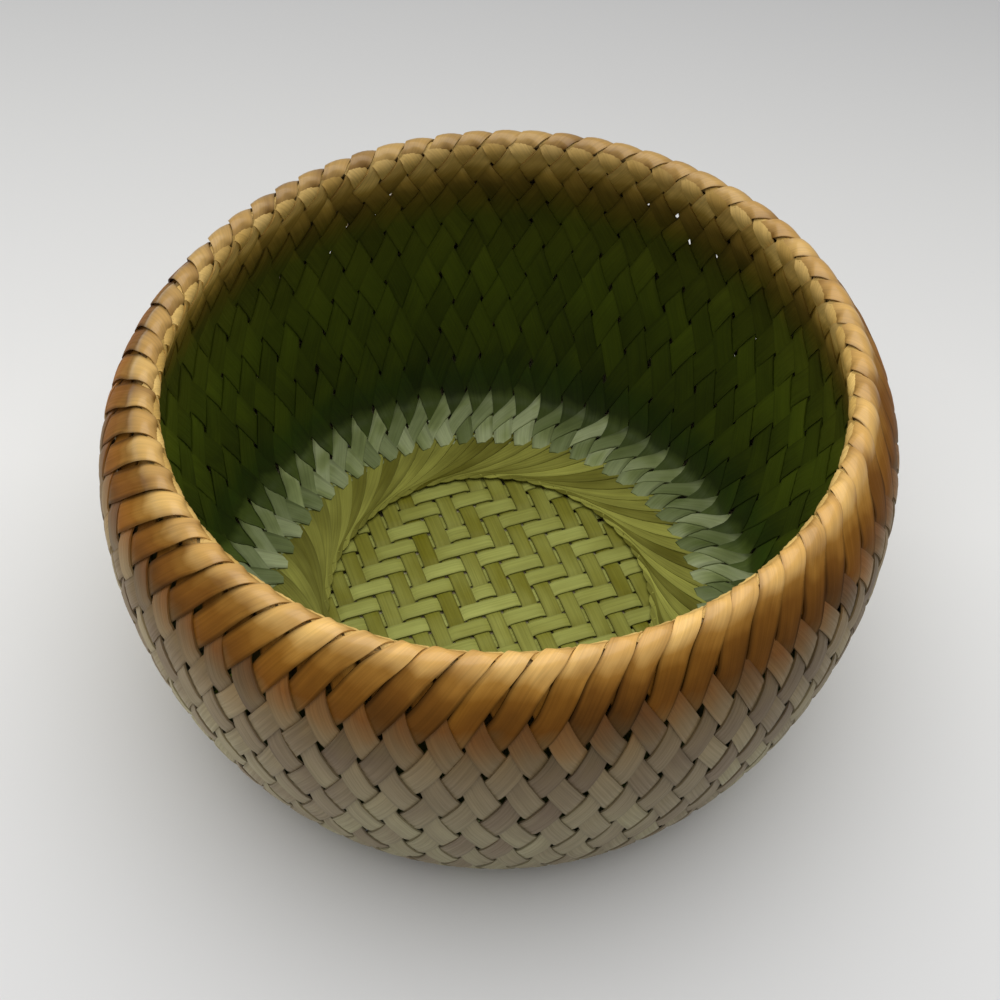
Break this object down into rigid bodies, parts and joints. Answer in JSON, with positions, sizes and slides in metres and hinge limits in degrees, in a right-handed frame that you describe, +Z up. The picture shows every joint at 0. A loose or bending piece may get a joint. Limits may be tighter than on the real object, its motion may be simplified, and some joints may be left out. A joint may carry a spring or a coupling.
{
  "type": "bamboo basket",
  "caption": "Round open bamboo basket with a bulging double wall woven on the bias, a wrapped rolled rim and a twill mat floor.",
  "frame": {"origin": "middle of the base, on the plane that the basket stands on", "axes": "+Z up through the mouth; +X to the right and +Y away from the viewer in the picture"},
  "size_m": [0.1814, 0.1786, 0.097],
  "materials": {
    "outer_weave": "grey-beige weathered bamboo strip, matt",
    "inner_weave": "dark olive green bamboo strip, matt",
    "varnished_rim": "golden brown varnished bamboo strip, satin",
    "split_hoop": "bare split bamboo",
    "straw_collar": "olive and straw bamboo strip, satin",
    "pale_corner": "pale grey-green bamboo strip, satin",
    "floor_mat": "celery green bamboo strip, satin"
  },
  "bodies": {
    "root": {"outer_wall": "outer_weave", "inner_wall": "inner_weave", "rim_wraps": "varnished_rim", "rim_hoop": "split_hoop", "floor_collar": "straw_collar", "floor_corner": "pale_corner", "base_ring": "outer_weave", "floor_strip_across_01": "floor_mat", "floor_strip_across_02": "floor_mat", "floor_strip_across_03": "floor_mat", "floor_strip_across_04": "floor_mat", "floor_strip_across_05": "floor_mat", "floor_strip_across_06": "floor_mat", "floor_strip_across_07": "floor_mat", "floor_strip_across_08": "floor_mat", "floor_strip_across_09": "floor_mat", "floor_strip_across_10": "floor_mat", "floor_strip_across_11": "floor_mat", "floor_strip_across_12": "floor_mat", "floor_strip_across_13": "floor_mat", "floor_strip_across_14": "floor_mat", "floor_strip_across_15": "floor_mat", "floor_strip_across_16": "floor_mat", "floor_strip_across_17": "floor_mat", "base_strip_across_01": "outer_weave", "base_strip_across_02": "outer_weave", "base_strip_across_03": "outer_weave", "base_strip_across_04": "outer_weave", "base_strip_across_05": "outer_weave", "base_strip_across_06": "outer_weave", "base_strip_across_07": "outer_weave", "base_strip_across_08": "outer_weave", "base_strip_across_09": "outer_weave", "floor_strip_along_01": "floor_mat", "floor_strip_along_02": "floor_mat", "floor_strip_along_03": "floor_mat", "floor_strip_along_04": "floor_mat", "floor_strip_along_05": "floor_mat", "floor_strip_along_06": "floor_mat", "floor_strip_along_07": "floor_mat", "floor_strip_along_08": "floor_mat", "floor_strip_along_09": "floor_mat", "floor_strip_along_10": "floor_mat", "floor_strip_along_11": "floor_mat", "floor_strip_along_12": "floor_mat", "floor_strip_along_13": "floor_mat", "floor_strip_along_14": "floor_mat", "floor_strip_along_15": "floor_mat", "floor_strip_along_16": "floor_mat", "floor_strip_along_17": "floor_mat", "base_strip_along_01": "outer_weave", "base_strip_along_02": "outer_weave", "base_strip_along_03": "outer_weave", "base_strip_along_04": "outer_weave", "base_strip_along_05": "outer_weave", "base_strip_along_06": "outer_weave", "base_strip_along_07": "outer_weave", "base_strip_along_08": "outer_weave", "base_strip_along_09": "outer_weave"}
  },
  "joints": []
}
